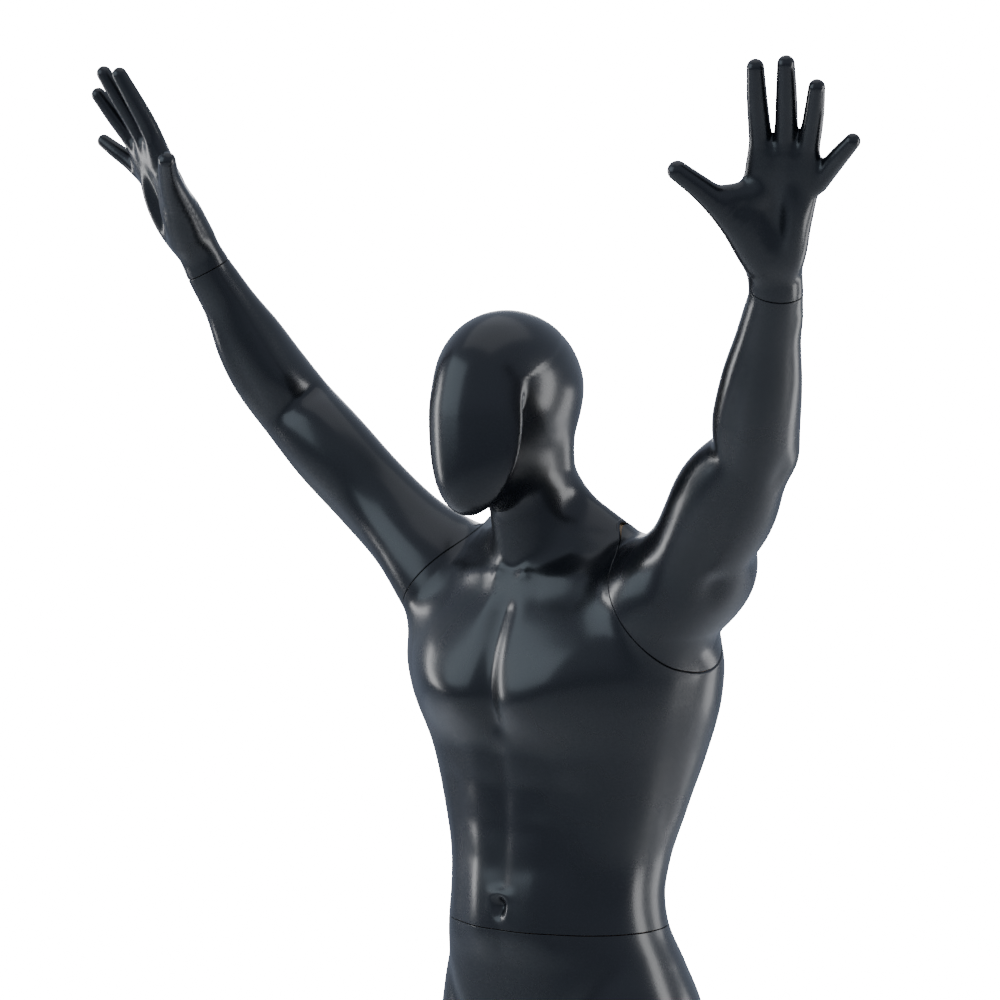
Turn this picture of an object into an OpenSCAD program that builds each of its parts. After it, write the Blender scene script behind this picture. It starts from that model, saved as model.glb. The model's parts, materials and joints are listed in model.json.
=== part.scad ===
// Display mannequin: a faceless athletic male figure with raised arms on a round base.
// Hollow moulded shells are closed by boards and joined by swivel sockets and square plugs.
// Millimetres, +Z up. The figure faces -Y and its left side is +X.

/* [Shells] */
// Wall thickness of the moulded shells
wall = 4; // [3:0.5:5]
// Width of the joint line between two pieces
seam = 0.8; // [0.6:0.1:1.2]
// Thickness of the boards that close the shells at the joints
board_t = 14; // [13:0.5:16]

/* [Base] */
// Diameter of the steel base plate
plate_d = 440; // [420:10:480]
// Thickness of the steel base plate
plate_t = 8; // [6:1:8]
// Thickness of the rubber sheet under the plate
pad_t = 2; // [1:0.5:2]
// Diameter of the calf support rod
rod_d = 12; // [10:1:13]
// Length of the support rod
rod_len = 330; // [320:2:334]

/* [Joints] */
// Turn of the waist swivel each way, in degrees
waist_turn = 30; // [10:5:35]
// Turn of each shoulder swivel each way, in degrees
shoulder_turn = 15; // [5:5:20]
// Turn of each wrist swivel each way, in degrees
wrist_turn = 45; // [10:5:50]
// Radial running clearance of the swivels and of the rod
run_fit = 0.05; // [0.02:0.01:0.08]

/* [Hidden] */
$fn = 64;

gap = seam / 2;             // each piece stops this far from its joint plane
floor_z = pad_t + plate_t;  // top of the base plate
sole_gap = 0.3;             // the soles stand this much above the plate
loose = 0.2;                // clearance between pieces that are fixed together
far = 1000;                 // half size of a cutting block
shoulder_reach = 150;       // radius within which a joint plane cuts the torso or the pelvis
facets = 20;                // sides of the rounded body sections

gloss = "#15181d";
steel = "#a4a8ac";
zinc = "#b9bcc0";
plywood = "#b48f62";
rubber = "#1c1c1c";
nylon = "#dcdcd4";

// Joints: a point on the joint plane, and the direction in which the removable piece comes off.
WAIST = [[0, 0, 1125], [0, 0, 1]];
LEFT_SHOULDER = [[160, -6, 1512], [0.84, -0.06, 0.54]];
RIGHT_SHOULDER = [[-158, -10, 1538], [-0.74, -0.08, 0.67]];
LEFT_WRIST = [[454, -178, 1871], [0.36, -0.32, 0.87]];
RIGHT_WRIST = [[-415, -173, 1904], [-0.26, -0.42, 0.87]];
THIGH = [[-98, -2, 868], [-0.42, 0, -0.907]];

// Body sections: [centre, half sizes] of ellipsoids, each one joined smoothly to the next.
TORSO = [
    [[0, 0, 1106], [146, 111, 26]], [[0, 1, 1152], [139, 106, 26]], [[0, 5, 1198], [141, 106, 26]],
    [[0, 15, 1258], [156, 116, 30]], [[0, 18, 1330], [186, 133, 34]], [[0, 12, 1400], [212, 142, 40]],
    [[0, 8, 1452], [214, 140, 44]], [[0, 6, 1504], [186, 118, 44]], [[0, 6, 1548], [146, 88, 40]]
];
NECK = [
    [[0, 8, 1572], [116, 62, 30]], [[0, -10, 1612], [76, 58, 28]], [[0, -38, 1646], [58, 60, 28]],
    [[0, -64, 1692], [57, 62, 28]], [[0, -78, 1740], [62, 78, 40]]
];
HEAD = [
    [[0, -88, 1764], [78, 100, 87]], [[0, -104, 1722], [74, 92, 70]], [[0, -128, 1668], [48, 56, 44]]
];
LEFT_ARM = [
    [[118, 2, 1478], [76, 82, 68]], [[162, -6, 1516], [76, 82, 74]], [[210, -16, 1560], [66, 76, 66]],
    [[256, -42, 1606], [55, 57, 55]], [[306, -62, 1652], [53, 55, 53]], [[350, -80, 1696], [47, 48, 47]],
    [[376, -102, 1736], [43, 45, 43]], [[402, -128, 1780], [39, 40, 40]], [[428, -153, 1824], [32, 33, 33]],
    [[454, -178, 1871], [30, 29, 27]], [[468, -193, 1903], [28, 26, 24]]
];
RIGHT_ARM = [
    [[-118, 0, 1496], [76, 82, 68]], [[-162, -10, 1538], [74, 82, 70]], [[-212, -22, 1584], [62, 66, 60]],
    [[-270, -34, 1634], [52, 55, 52]], [[-324, -56, 1692], [53, 55, 53]], [[-368, -72, 1738], [47, 48, 47]],
    [[-385, -97, 1778], [43, 45, 43]], [[-398, -123, 1822], [39, 40, 40]], [[-409, -147, 1864], [32, 33, 33]],
    [[-415, -173, 1904], [30, 29, 27]], [[-424, -186, 1934], [28, 26, 24]]
];
PELVIS = [
    [[0, 0, 1146], [140, 107, 26]], [[0, 8, 1090], [151, 113, 28]], [[0, 14, 1034], [166, 118, 36]],
    [[0, 16, 975], [176, 122, 44]], [[0, 12, 920], [170, 114, 44]]
];
LEFT_LEG = [
    [[92, 8, 930], [86, 98, 60]], [[98, 2, 850], [82, 90, 60]], [[102, -2, 740], [73, 80, 50]],
    [[106, -6, 620], [60, 66, 44]], [[108, -6, 530], [52, 56, 40]], [[110, 6, 450], [49, 55, 36]],
    [[112, 20, 370], [52, 58, 40]], [[113, 22, 280], [43, 47, 36]], [[114, 24, 190], [34, 38, 30]],
    [[114, 26, 110], [32, 38, 24]]
];
RIGHT_LEG = [
    [[-92, 8, 930], [86, 98, 60]], [[-101, -4, 850], [82, 90, 60]], [[-109, -14, 740], [73, 80, 50]],
    [[-115, -24, 620], [60, 66, 44]], [[-119, -28, 530], [52, 56, 40]], [[-121, -12, 450], [49, 55, 36]],
    [[-122, 4, 370], [52, 58, 40]], [[-123, 10, 280], [43, 47, 36]], [[-124, 16, 190], [34, 38, 30]],
    [[-124, 20, 110], [32, 38, 24]]
];
// A foot lies in its own frame: its toes point to -Y and its ankle is above the origin.
FOOT = [
    [[0, 18, 34], [30, 28, 34]], [[0, -30, 36], [32, 30, 36]], [[2, -90, 26], [40, 30, 26]],
    [[4, -140, 20], [46, 30, 20]], [[2, -168, 15], [40, 26, 15]]
];
ANKLE = [[0, 0, 100], [32, 38, 24]];
LEFT_ANKLE = [114, 26];
RIGHT_ANKLE = [-124, 20];
foot_turn = 8;              // the feet point outwards by this angle

// A hand lies in its own frame: Z runs from the wrist joint to the fingers, X towards the
// little finger, and the palm faces -Y. Each chain is a list of [centre, half sizes].
PALM = [
    [[0, 0, -26], [29, 27, 24]], [[0, 0, 14], [28, 24, 24]], [[2, 0, 52], [29, 19, 24]],
    [[4, -2, 100], [39, 17, 28]], [[8, 0, 146], [38, 12, 18]]
];
THUMB = [
    [[-12, -8, 60], [23, 20, 26]], [[-52, -24, 110], [16, 16, 16]], [[-76, -31, 131], [13, 13, 13]],
    [[-98, -36, 150], [11, 11, 11]]
];
INDEX = [[[-16, 1, 150], [12, 12, 12]], [[-20, 0, 206], [10.5, 10.5, 10.5]], [[-22, -5, 257], [8.6, 8.6, 8.6]]];
MIDDLE = [[[8, 2, 152], [12, 12, 12]], [[10, -1, 212], [10.5, 10.5, 10.5]], [[10.5, -7, 266], [8.7, 8.7, 8.7]]];
RING = [[[28, 1, 148], [12, 12, 12]], [[37, -3, 198], [10.4, 10.4, 10.4]], [[43, -10, 244], [8.4, 8.4, 8.4]]];
LITTLE = [[[43, 0, 134], [12, 12, 14]], [[62, -5, 162], [9.6, 9.6, 9.6]], [[80.5, -12, 189], [8, 8, 8]]];
LEFT_FINGERS_TO = [0.29, -0.39, 0.873];
RIGHT_FINGERS_TO = [-0.207, -0.397, 0.894];
left_palm_turn = 25.6;      // the palms face outwards from straight ahead by these angles
right_palm_turn = 17.7;

// Fittings: flange radius and thickness, swivel radius, socket depth, plug width, screw circle
// radius, number of screws, and the screw's radius, head radius, head height and length.
LARGE = [62, 5, 38, 46, 38, 52, 6, 2.5, 4.5, 2.8, 14];
MEDIUM = [40, 4.5, 23, 36, 22, 33, 4, 2, 3.6, 2.4, 13];
SMALL = [19, 3, 10, 24, 9, 16, 3, 1.2, 2.2, 1.4, 10];
lip = 3;                    // thickness of the socket floor that carries the swivel
socket_wall = 3;
floor_ledge = 3;            // width of that floor
axial_play = 0.1;           // play of the swivel between the floor and the circlip
clip_sunk = 0.8;            // the circlip lies this far below the socket's face
clip_t = 1.2;
groove = 1.6;               // depth of the circlip's groove
clip_cover = 2.2;           // the circlip reaches this far over the swivel
clip_opening = 30;          // angle of the circlip's gap
lug_angle = 16;             // the swivel's stop lug
lug_h = 5;
lug_out = 1;
stop_into_groove = 0.6;     // the stop's arc opens this far into the circlip's groove
stop_play = 1;              // angle left between lug and stop at the end of the turn
plug_fit = 0.1;             // clearance of the square plug on each side
plug_end = 5;               // the plug ends this far above the socket's floor
pilot_fit = 0.05;
hand_plug_in = 26;          // the wrist plug goes this far into the hand

rod_foot = [113, 112, floor_z];
rod_tilt = 9;               // the rod leans forwards into the calf
rod_start = 3;              // the rod starts this far along its own axis
tube_start = 236;
tube_len = 112;
tube_wall = 3;
tube_end = 8;               // solid top end of the calf tube
hub_r = 27;
hub_t = 7;
hub_neck_r = 12;
hub_neck = 24;
hub_screw_circle = 20;
HUB_SCREW = [2.5, 4.5, 2.8, 12]; // radius, head radius, head height, length

function flange_r(f) = f[0];
function flange_t(f) = f[1];
function swivel_r(f) = f[2];
function depth(f) = f[3];
function plug_w(f) = f[4];
function screw_circle(f) = f[5];
function screw_count(f) = f[6];
function screw_size(f) = [f[7], f[8], f[9], f[10]];
function cup_r(f) = swivel_r(f) + run_fit + socket_wall;
function swivel_top(f) = -gap - clip_sunk - clip_t - axial_play;
function swivel_bottom(f) = -gap - depth(f) + lip + axial_play;
function first(list, count) = [for (i = [0 : count - 1]) list[i]];
function unit(v) = v / norm(v);

// Places children so that their +Z points along the joint's direction, with X kept level.
module at_joint(joint) {
    dir = unit(joint[1]);
    translate(joint[0]) rotate([0, acos(dir[2]), atan2(dir[1], dir[0])]) children();
}

// Everything on the removable side of a joint plane, from the given distance outwards.
module beyond(joint, from) {
    at_joint(joint) translate([-far, -far, from]) cube([2 * far, 2 * far, 2 * far]);
}

// Everything on the fixed side of a joint plane, up to the given distance from it.
module before(joint, to) {
    at_joint(joint) translate([-far, -far, to - 2 * far]) cube([2 * far, 2 * far, 2 * far]);
}

// The removable side of a joint plane, near the joint only.
module near_beyond(joint, from) {
    at_joint(joint) translate([0, 0, from]) cylinder(r = shoulder_reach, h = 420);
}

module blob(section, skin) {
    translate(section[0]) scale(section[1] - [skin, skin, skin]) sphere(r = 1, $fn = facets);
}

module sweep(sections, skin) {
    for (i = [0 : len(sections) - 2]) hull() {
        blob(sections[i], skin);
        blob(sections[i + 1], skin);
    }
}

module foot(ankle, turn, skin) {
    translate([ankle[0], ankle[1], floor_z + sole_gap]) rotate(turn) intersection() {
        union() {
            sweep(FOOT, skin);
            sweep([FOOT[0], ANKLE, FOOT[1]], skin);
        }
        translate([-far, -far, skin]) cube(2 * far);
    }
}

module torso_form(skin) {
    sweep(TORSO, skin);
    sweep(NECK, skin);
    sweep(HEAD, skin);
    sweep(first(LEFT_ARM, 3), skin);
    sweep(first(RIGHT_ARM, 3), skin);
}

module pelvis_form(skin) {
    sweep(PELVIS, skin);
    sweep(LEFT_LEG, skin);
    foot(LEFT_ANKLE, foot_turn, skin);
    sweep(first(RIGHT_LEG, 2), skin);
}

module right_leg_form(skin) {
    sweep(RIGHT_LEG, skin);
    foot(RIGHT_ANKLE, -foot_turn, skin);
}

module hand_form() {
    sweep(PALM, 0);
    sweep(THUMB, 0);
    sweep(INDEX, 0);
    sweep(MIDDLE, 0);
    sweep(RING, 0);
    sweep(LITTLE, 0);
}

// Puts a hand's own frame at its wrist: Z along the fingers, the palm turned outwards.
module at_wrist(joint, fingers_to, palm_turn, side) {
    z = unit(fingers_to);
    palm = [side * sin(palm_turn), -cos(palm_turn), 0];
    y = unit(z * (palm * z) - palm);
    x = cross(y, z);
    multmatrix([
        [x[0], y[0], z[0], joint[0][0]],
        [x[1], y[1], z[1], joint[0][1]],
        [x[2], y[2], z[2], joint[0][2]]
    ]) scale([side, 1, 1]) children();
}

module screw(size) {
    translate([0, 0, -size[2]]) cylinder(r = size[1], h = size[2], $fn = 32);
    translate([0, 0, -size[3]]) cylinder(r = size[0], h = size[3], $fn = 32);
}

// Hole for a screw whose head is sunk by a little, and for a head that lies in the flange.
module screw_hole(size, spread) {
    translate([0, 0, -size[2] - loose]) cylinder(r = size[1] + spread, h = size[2] + 3 * loose, $fn = 32);
    translate([0, 0, -size[3] - 2]) cylinder(r = size[0] + spread, h = size[3] + 2, $fn = 32);
}

module around(f) {
    for (i = [0 : screw_count(f) - 1])
        rotate((i + 0.5) * 360 / screw_count(f)) translate([screw_circle(f), 0, 0]) children();
}

// The screws of a socket's flange, with the heads just below its face.
module socket_screws(f) {
    translate([0, 0, -gap - loose]) around(f) screw(screw_size(f));
}

// The screws of a plug's flange, on the other side of the joint.
module plug_screws(f) {
    mirror([0, 0, 1]) socket_screws(f);
}

// Pilot holes of the flange screws in the board behind the flange.
module pilot_holes(f) {
    size = screw_size(f);
    translate([0, 0, -gap - size[3] - 1]) around(f) cylinder(r = size[0] + pilot_fit, h = size[3] + 2, $fn = 32);
}

// Recess in a board for a flange, with the hole for the socket's cup.
module socket_recess(f) {
    translate([0, 0, -gap - flange_t(f)]) cylinder(r = flange_r(f) + loose, h = flange_t(f) + 2);
    translate([0, 0, -gap - depth(f) - 2]) cylinder(r = cup_r(f) + loose, h = depth(f) + 2);
    pilot_holes(f);
}

// Recess in a board for a plug's flange.
module plug_recess(f) {
    translate([0, 0, gap - 2]) cylinder(r = flange_r(f) + loose, h = flange_t(f) + 2);
    mirror([0, 0, 1]) pilot_holes(f);
}

// Arc-shaped space of the stop lug, or the lug itself.
module stop_arc(f, half_angle, out, height) {
    rotate(-half_angle) rotate_extrude(angle = 2 * half_angle)
        translate([swivel_r(f) - 1, 0]) square([1 + out, height]);
}

// Cup that holds a swivel, with a flange, a circlip groove and the stop's arc.
module socket(f, turn) {
    difference() {
        union() {
            translate([0, 0, -gap - flange_t(f)]) cylinder(r = flange_r(f), h = flange_t(f));
            translate([0, 0, -gap - depth(f)]) cylinder(r = cup_r(f), h = depth(f));
        }
        translate([0, 0, -gap - depth(f) + lip]) cylinder(r = swivel_r(f) + run_fit, h = depth(f));
        translate([0, 0, -gap - depth(f) - 1]) cylinder(r = swivel_r(f) - floor_ledge, h = depth(f));
        translate([0, 0, -gap - clip_sunk - clip_t]) cylinder(r = swivel_r(f) + groove, h = clip_t);
        translate([0, 0, swivel_top(f) - lug_h - axial_play])
            stop_arc(f, lug_angle / 2 + turn + stop_play, lug_out + loose,
                lug_h + 2 * axial_play + stop_into_groove);
        translate([0, 0, -gap - loose]) around(f) screw_hole(screw_size(f), loose / 2);
    }
}

// Spring ring that keeps the swivel in its socket.
module circlip(f) {
    translate([0, 0, -gap - clip_sunk - clip_t + loose / 2])
        rotate(180 + clip_opening / 2) rotate_extrude(angle = 360 - clip_opening)
            translate([swivel_r(f) - clip_cover, 0])
                square([clip_cover + groove - loose / 2, clip_t - loose]);
}

// Disc that turns in the socket, with a square hole for the plug and a stop lug.
module swivel(f) {
    hole = plug_w(f) + 2 * plug_fit;
    difference() {
        union() {
            translate([0, 0, swivel_bottom(f)]) cylinder(r = swivel_r(f), h = swivel_top(f) - swivel_bottom(f));
            translate([0, 0, swivel_top(f) - lug_h]) stop_arc(f, lug_angle / 2, lug_out, lug_h);
        }
        translate([-hole / 2, -hole / 2, -gap - depth(f)]) cube([hole, hole, depth(f) + 2]);
    }
}

// Flange with a square bar that goes down into the swivel.
module plug(f) {
    w = plug_w(f);
    difference() {
        union() {
            translate([0, 0, gap]) cylinder(r = flange_r(f), h = flange_t(f));
            translate([-w / 2, -w / 2, -gap - depth(f) + lip + plug_end])
                cube([w, w, 2 * gap + depth(f) - lip - plug_end + flange_t(f) / 2]);
        }
        mirror([0, 0, 1]) translate([0, 0, -gap - loose]) around(f) screw_hole(screw_size(f), loose / 2);
    }
}

// Square socket without a swivel, for the leg.
module fixed_socket(f) {
    hole = plug_w(f) + 2 * plug_fit;
    difference() {
        union() {
            translate([0, 0, -gap - flange_t(f)]) cylinder(r = flange_r(f), h = flange_t(f));
            translate([0, 0, -gap - depth(f)]) cylinder(r = cup_r(f), h = depth(f));
        }
        translate([-hole / 2, -hole / 2, -gap - depth(f) + lip]) cube([hole, hole, depth(f)]);
        translate([0, 0, -gap - loose]) around(f) screw_hole(screw_size(f), loose / 2);
    }
}

// Slab on the fixed side of a joint, and on the removable side.
module socket_slab(joint) {
    at_joint(joint) translate([-shoulder_reach, -shoulder_reach, -gap - board_t])
        cube([2 * shoulder_reach, 2 * shoulder_reach, board_t]);
}

module plug_slab(joint) {
    at_joint(joint) translate([-shoulder_reach, -shoulder_reach, gap])
        cube([2 * shoulder_reach, 2 * shoulder_reach, board_t]);
}

// ---- base ----

module base_pad() {
    color(rubber) cylinder(d = plate_d - 8, h = pad_t, $fn = 128);
}

module at_rod() {
    translate(rod_foot) rotate([rod_tilt, 0, 0]) children();
}

module base_plate() {
    color(steel) difference() {
        translate([0, 0, pad_t]) cylinder(d = plate_d, h = plate_t, $fn = 128);
        for (a = [45 : 90 : 315])
            translate([rod_foot[0], rod_foot[1], pad_t - 1]) rotate(a) translate([hub_screw_circle, 0, 0])
                cylinder(r = HUB_SCREW[0] + pilot_fit, h = plate_t + 2, $fn = 32);
    }
}

module hub_screw_places() {
    translate([rod_foot[0], rod_foot[1], floor_z + hub_t - loose])
        for (a = [45 : 90 : 315]) rotate(a) translate([hub_screw_circle, 0, 0]) children();
}

module rod_hub() {
    color(zinc) difference() {
        union() {
            translate(rod_foot) cylinder(r = hub_r, h = hub_t);
            intersection() {
                at_rod() translate([0, 0, -hub_t]) cylinder(r = hub_neck_r, h = hub_neck + hub_t);
                translate(rod_foot) cylinder(r = hub_r, h = 2 * hub_neck);
            }
        }
        at_rod() translate([0, 0, rod_start]) cylinder(d = rod_d + 2 * run_fit, h = hub_neck);
        hub_screw_places() screw_hole(HUB_SCREW, loose / 2);
    }
}

module hub_screws() {
    color(steel) hub_screw_places() screw(HUB_SCREW);
}

module support_rod() {
    color(steel) at_rod() translate([0, 0, rod_start]) cylinder(d = rod_d, h = rod_len);
}

module calf_tube() {
    color(zinc) at_rod() translate([0, 0, tube_start]) difference() {
        cylinder(d = rod_d + 2 * tube_wall, h = tube_len);
        translate([0, 0, -1]) cylinder(d = rod_d + 2 * run_fit, h = tube_len - tube_end + 1);
    }
}

// ---- hips and legs ----

module pelvis_and_left_leg_shell() {
    color(gloss) difference() {
        pelvis_form(0);
        pelvis_form(wall);
        beyond(WAIST, -gap);
        near_beyond(THIGH, -gap);
        at_rod() translate([0, 0, tube_start - 1]) cylinder(d = rod_d + 2 * tube_wall + loose, h = tube_len + 2);
        at_rod() cylinder(d = rod_d + 2, h = tube_start);
    }
}

module pelvis_waist_board() {
    color(plywood) difference() {
        intersection() {
            socket_slab(WAIST);
            sweep(first(PELVIS, 3), wall + loose);
        }
        at_joint(WAIST) socket_recess(LARGE);
    }
}

module waist_socket() {
    color(zinc) at_joint(WAIST) socket(LARGE, waist_turn);
}

module waist_socket_screws() {
    color(steel) at_joint(WAIST) socket_screws(LARGE);
}

module pelvis_thigh_board() {
    color(plywood) difference() {
        intersection() {
            socket_slab(THIGH);
            sweep(first(RIGHT_LEG, 2), wall + loose);
        }
        at_joint(THIGH) socket_recess(MEDIUM);
    }
}

module thigh_socket() {
    color(zinc) at_joint(THIGH) fixed_socket(MEDIUM);
}

module thigh_socket_screws() {
    color(steel) at_joint(THIGH) socket_screws(MEDIUM);
}

module right_leg_shell() {
    color(gloss) difference() {
        right_leg_form(0);
        right_leg_form(wall);
        before(THIGH, gap);
    }
}

module right_thigh_board() {
    color(plywood) difference() {
        intersection() {
            plug_slab(THIGH);
            sweep(first(RIGHT_LEG, 3), wall + loose);
        }
        at_joint(THIGH) plug_recess(MEDIUM);
    }
}

module thigh_plug() {
    color(zinc) at_joint(THIGH) plug(MEDIUM);
}

module thigh_plug_screws() {
    color(steel) at_joint(THIGH) plug_screws(MEDIUM);
}

// ---- torso ----

module torso_and_head_shell() {
    color(gloss) difference() {
        torso_form(0);
        torso_form(wall);
        before(WAIST, gap);
        near_beyond(LEFT_SHOULDER, -gap);
        near_beyond(RIGHT_SHOULDER, -gap);
    }
}

module torso_waist_board() {
    color(plywood) difference() {
        intersection() {
            plug_slab(WAIST);
            sweep(first(TORSO, 3), wall + loose);
        }
        at_joint(WAIST) plug_recess(LARGE);
    }
}

module waist_plug() {
    color(zinc) at_joint(WAIST) plug(LARGE);
}

module waist_plug_screws() {
    color(steel) at_joint(WAIST) plug_screws(LARGE);
}

module shoulder_board(joint, arm) {
    color(plywood) difference() {
        intersection() {
            socket_slab(joint);
            sweep(first(arm, 3), wall + loose);
        }
        at_joint(joint) socket_recess(MEDIUM);
    }
}

module shoulder_socket(joint) {
    color(zinc) at_joint(joint) socket(MEDIUM, shoulder_turn);
}

module shoulder_socket_screws() {
    color(steel) {
        at_joint(LEFT_SHOULDER) socket_screws(MEDIUM);
        at_joint(RIGHT_SHOULDER) socket_screws(MEDIUM);
    }
}

// ---- arms ----

module arm_shell(arm, shoulder, wrist) {
    color(gloss) difference() {
        sweep(arm, 0);
        sweep(arm, wall);
        before(shoulder, gap);
        beyond(wrist, -gap);
    }
}

module arm_board(arm, shoulder) {
    color(plywood) difference() {
        intersection() {
            plug_slab(shoulder);
            sweep(first(arm, 4), wall + loose);
        }
        at_joint(shoulder) plug_recess(MEDIUM);
    }
}

module arm_screws(shoulder, wrist) {
    color(steel) {
        at_joint(shoulder) plug_screws(MEDIUM);
        at_joint(wrist) socket_screws(SMALL);
    }
}

module wrist_board(arm, wrist) {
    color(plywood) difference() {
        intersection() {
            socket_slab(wrist);
            sweep([for (i = [7 : 10]) arm[i]], wall + loose);
        }
        at_joint(wrist) socket_recess(SMALL);
    }
}

// ---- hands ----

module wrist_plug_bar(wrist, w, into) {
    at_joint(wrist) translate([-w / 2, -w / 2, -gap - depth(SMALL) + lip + plug_end])
        cube([w, w, gap + depth(SMALL) - lip - plug_end + into]);
}

module hand(wrist, fingers_to, palm_turn, side) {
    color(gloss) difference() {
        at_wrist(wrist, fingers_to, palm_turn, side) hand_form();
        before(wrist, gap);
        wrist_plug_bar(wrist, plug_w(SMALL) + loose, hand_plug_in + loose);
    }
}

module hand_plug(wrist) {
    color(zinc) wrist_plug_bar(wrist, plug_w(SMALL), hand_plug_in);
}

// ---- swivels, circlips and plugs, each in its own joint ----

module swivel_at(joint, fitting) {
    color(nylon) at_joint(joint) swivel(fitting);
}

module circlip_at(joint, fitting) {
    color(steel) at_joint(joint) circlip(fitting);
}

module arm_plug(joint) {
    color(zinc) at_joint(joint) plug(MEDIUM);
}

module wrist_socket(joint) {
    color(zinc) at_joint(joint) socket(SMALL, wrist_turn);
}

base_pad();
base_plate();
rod_hub();
hub_screws();
support_rod();
pelvis_and_left_leg_shell();
calf_tube();
pelvis_waist_board();
waist_socket();
waist_socket_screws();
circlip_at(WAIST, LARGE);  // waist_circlip
swivel_at(WAIST, LARGE);  // waist_swivel
pelvis_thigh_board();
thigh_socket();
thigh_socket_screws();
right_leg_shell();
right_thigh_board();
thigh_plug();
thigh_plug_screws();
torso_and_head_shell();
torso_waist_board();
waist_plug();
waist_plug_screws();
shoulder_board(LEFT_SHOULDER, LEFT_ARM);  // left_shoulder_board
shoulder_socket(LEFT_SHOULDER);  // left_shoulder_socket
circlip_at(LEFT_SHOULDER, MEDIUM);  // left_shoulder_circlip
swivel_at(LEFT_SHOULDER, MEDIUM);  // left_shoulder_swivel
shoulder_board(RIGHT_SHOULDER, RIGHT_ARM);  // right_shoulder_board
shoulder_socket(RIGHT_SHOULDER);  // right_shoulder_socket
circlip_at(RIGHT_SHOULDER, MEDIUM);  // right_shoulder_circlip
swivel_at(RIGHT_SHOULDER, MEDIUM);  // right_shoulder_swivel
shoulder_socket_screws();
arm_shell(LEFT_ARM, LEFT_SHOULDER, LEFT_WRIST);  // left_arm_shell
arm_board(LEFT_ARM, LEFT_SHOULDER);  // left_arm_board
arm_plug(LEFT_SHOULDER);  // left_arm_plug
arm_screws(LEFT_SHOULDER, LEFT_WRIST);  // left_arm_screws
wrist_board(LEFT_ARM, LEFT_WRIST);  // left_wrist_board
wrist_socket(LEFT_WRIST);  // left_wrist_socket
circlip_at(LEFT_WRIST, SMALL);  // left_wrist_circlip
swivel_at(LEFT_WRIST, SMALL);  // left_wrist_swivel
arm_shell(RIGHT_ARM, RIGHT_SHOULDER, RIGHT_WRIST);  // right_arm_shell
arm_board(RIGHT_ARM, RIGHT_SHOULDER);  // right_arm_board
arm_plug(RIGHT_SHOULDER);  // right_arm_plug
arm_screws(RIGHT_SHOULDER, RIGHT_WRIST);  // right_arm_screws
wrist_board(RIGHT_ARM, RIGHT_WRIST);  // right_wrist_board
wrist_socket(RIGHT_WRIST);  // right_wrist_socket
circlip_at(RIGHT_WRIST, SMALL);  // right_wrist_circlip
swivel_at(RIGHT_WRIST, SMALL);  // right_wrist_swivel
hand(LEFT_WRIST, LEFT_FINGERS_TO, left_palm_turn, 1);  // left_hand
hand_plug(LEFT_WRIST);  // left_hand_plug
hand(RIGHT_WRIST, RIGHT_FINGERS_TO, right_palm_turn, -1);  // right_hand
hand_plug(RIGHT_WRIST);  // right_hand_plug
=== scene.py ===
import json
import math

import bmesh
import bpy
import numpy as np
import openvdb as vdb
from mathutils import Matrix, Vector


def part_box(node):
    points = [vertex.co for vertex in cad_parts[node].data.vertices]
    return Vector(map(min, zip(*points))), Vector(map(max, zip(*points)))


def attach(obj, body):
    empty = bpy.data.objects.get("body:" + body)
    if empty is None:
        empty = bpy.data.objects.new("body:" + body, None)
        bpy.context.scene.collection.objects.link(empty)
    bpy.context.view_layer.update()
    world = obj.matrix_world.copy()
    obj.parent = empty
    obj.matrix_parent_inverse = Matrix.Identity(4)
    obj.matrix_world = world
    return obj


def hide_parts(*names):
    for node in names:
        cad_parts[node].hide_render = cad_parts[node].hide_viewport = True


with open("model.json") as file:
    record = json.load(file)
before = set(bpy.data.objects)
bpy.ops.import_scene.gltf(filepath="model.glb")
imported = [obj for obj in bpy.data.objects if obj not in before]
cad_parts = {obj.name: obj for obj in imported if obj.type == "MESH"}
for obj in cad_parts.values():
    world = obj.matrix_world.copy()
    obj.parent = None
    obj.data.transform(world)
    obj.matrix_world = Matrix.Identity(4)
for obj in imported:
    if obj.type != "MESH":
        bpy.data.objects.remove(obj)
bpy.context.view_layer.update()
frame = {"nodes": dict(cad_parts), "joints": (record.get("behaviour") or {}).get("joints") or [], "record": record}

# Glossy black display mannequin. The shells are sculpted here as smooth implicit shapes, in
# millimetres and in the CAD frame: -Y is the front, +X the figure's left. Each shape function
# takes an (N, 3) array of points and returns roughly the distance to the skin, negative inside.

MM = 0.001
BODY_CELL = 3.5       # sampling step of the torso and the legs
ARM_CELL = 3.0
HAND_CELL = 1.7
FAR = 200.0                             # value given to points that a shape doesn't reach
BLEND = 500.0                           # smoothing of a limb's bends, in square millimetres

SEAM = 0.8                              # joint line, as in the CAD model
GAP = SEAM / 2
EDGE = 1.3                              # rounding of a shell's edge at a joint
WALL = 4.0                              # thickness of a shell's rim
BOARD = 14.0                            # thickness of the boards that close the shells
SPARE = 12.0                            # a shell is made this much too long, then cut
PLATE_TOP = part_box("base_plate")[1][2] / MM

joints = {joint["name"]: joint for joint in frame["joints"]}


def unit(v):
    v = np.asarray(v, float)
    return v / np.linalg.norm(v)


def joint_plane(name):
    """A joint's place in millimetres and its direction, from the frame."""
    joint = joints[name]
    return np.array(joint["pos_m"]) / MM, unit(joint["axis"])


WAIST = joint_plane("waist_turn")
LEFT_SHOULDER = joint_plane("left_shoulder_turn")
RIGHT_SHOULDER = joint_plane("right_shoulder_turn")
LEFT_WRIST = joint_plane("left_wrist_turn")
RIGHT_WRIST = joint_plane("right_wrist_turn")
# The right leg's joint doesn't turn, so it is placed here as in the CAD model.
THIGH = (np.array([-98.0, -2.0, 868.0]), unit([-0.42, 0.0, -0.907]))
MIRROR = np.array([-1.0, 1.0, 1.0])


# ---- implicit shapes ----


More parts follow.
